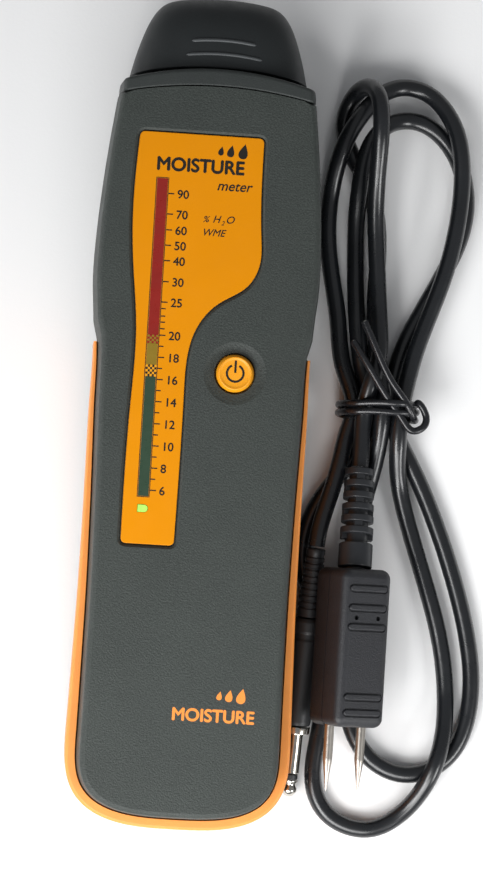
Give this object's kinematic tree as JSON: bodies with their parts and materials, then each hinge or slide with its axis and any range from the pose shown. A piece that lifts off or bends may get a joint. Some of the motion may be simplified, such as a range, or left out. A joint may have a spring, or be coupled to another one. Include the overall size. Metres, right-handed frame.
{
  "type": "pin-type moisture meter",
  "caption": "Hand-held pin moisture meter with a light-bar scale, slide-off pin cap and a plug-in two-pin probe lead.",
  "frame": {"origin": "middle of the meter's rear face", "axes": "+Z out of the meter's face, +Y along its length towards its pins, +X to its right"},
  "size_m": [0.0911, 0.1806, 0.0323],
  "materials": {
    "case_plastic": "fine-textured ABS",
    "cap_plastic": "smooth satin",
    "bumper": "matte",
    "label": "printed film, satin",
    "scale_window": "translucent, printed",
    "status_window": "lit",
    "button": "satin",
    "black_plastic": "fine grain",
    "battery_case": "gloss sleeve",
    "black_vinyl": "flexible PVC",
    "red_vinyl": "flexible PVC",
    "steel": "polished",
    "brass": "plain",
    "board": "solder resist"
  },
  "bodies": {
    "meter": {"front_shell": "case_plastic", "rear_shell": "case_plastic", "nose_collar": "case_plastic", "bumper_band": "bumper", "face_label": "label", "scale_window": "scale_window", "status_window": "status_window", "pin_block": "black_plastic", "light_bar": "black_plastic", "microcontroller": "black_plastic", "tactile_switch": "black_plastic", "jack_socket": "black_plastic", "battery_snap": "black_plastic", "battery": "battery_case", "battery_lead_black": "black_vinyl", "battery_lead_red": "red_vinyl", "measuring_pin_left": "steel", "measuring_pin_right": "steel", "case_screw_1": "steel", "case_screw_2": "steel", "case_screw_3": "steel", "case_screw_4": "steel", "pin_contact_left": "brass", "pin_contact_right": "brass", "circuit_board": "board"},
    "cap": {"cap": "cap_plastic"},
    "power_button": {"power_button": "button"},
    "battery_door": {"battery_door": "case_plastic"},
    "probe_lead": {"probe_front_half": "black_plastic", "probe_rear_half": "black_plastic", "probe_pin_left": "steel", "probe_pin_right": "steel", "probe_strain_relief": "black_vinyl", "probe_cord": "black_vinyl", "cord_tie": "black_vinyl", "plug_strain_relief": "black_vinyl", "plug_body": "black_plastic", "plug_sleeve": "steel", "plug_insulator": "black_plastic", "plug_tip": "steel"}
  },
  "joints": [
    {"name": "cap_slide", "type": "slide", "parent": "meter", "child": "cap", "axis": [0, 1, 0], "range_m": [0, 0.025]},
    {"name": "power_button_press", "type": "slide", "parent": "meter", "child": "power_button", "axis": [0, 0, -1], "range_m": [0, 0.0006], "stiffness_N_per_m": 1500, "springref_m": -0.0004},
    {"name": "battery_door_slide", "type": "slide", "parent": "meter", "child": "battery_door", "axis": [0, -1, 0], "range_m": [0, 0.058]},
    {"name": "probe_lead_lift", "type": "slide", "parent": "meter", "child": "probe_lead", "axis": [0.6, 0, 0.8], "range_m": [0, 0.06]}
  ]
}
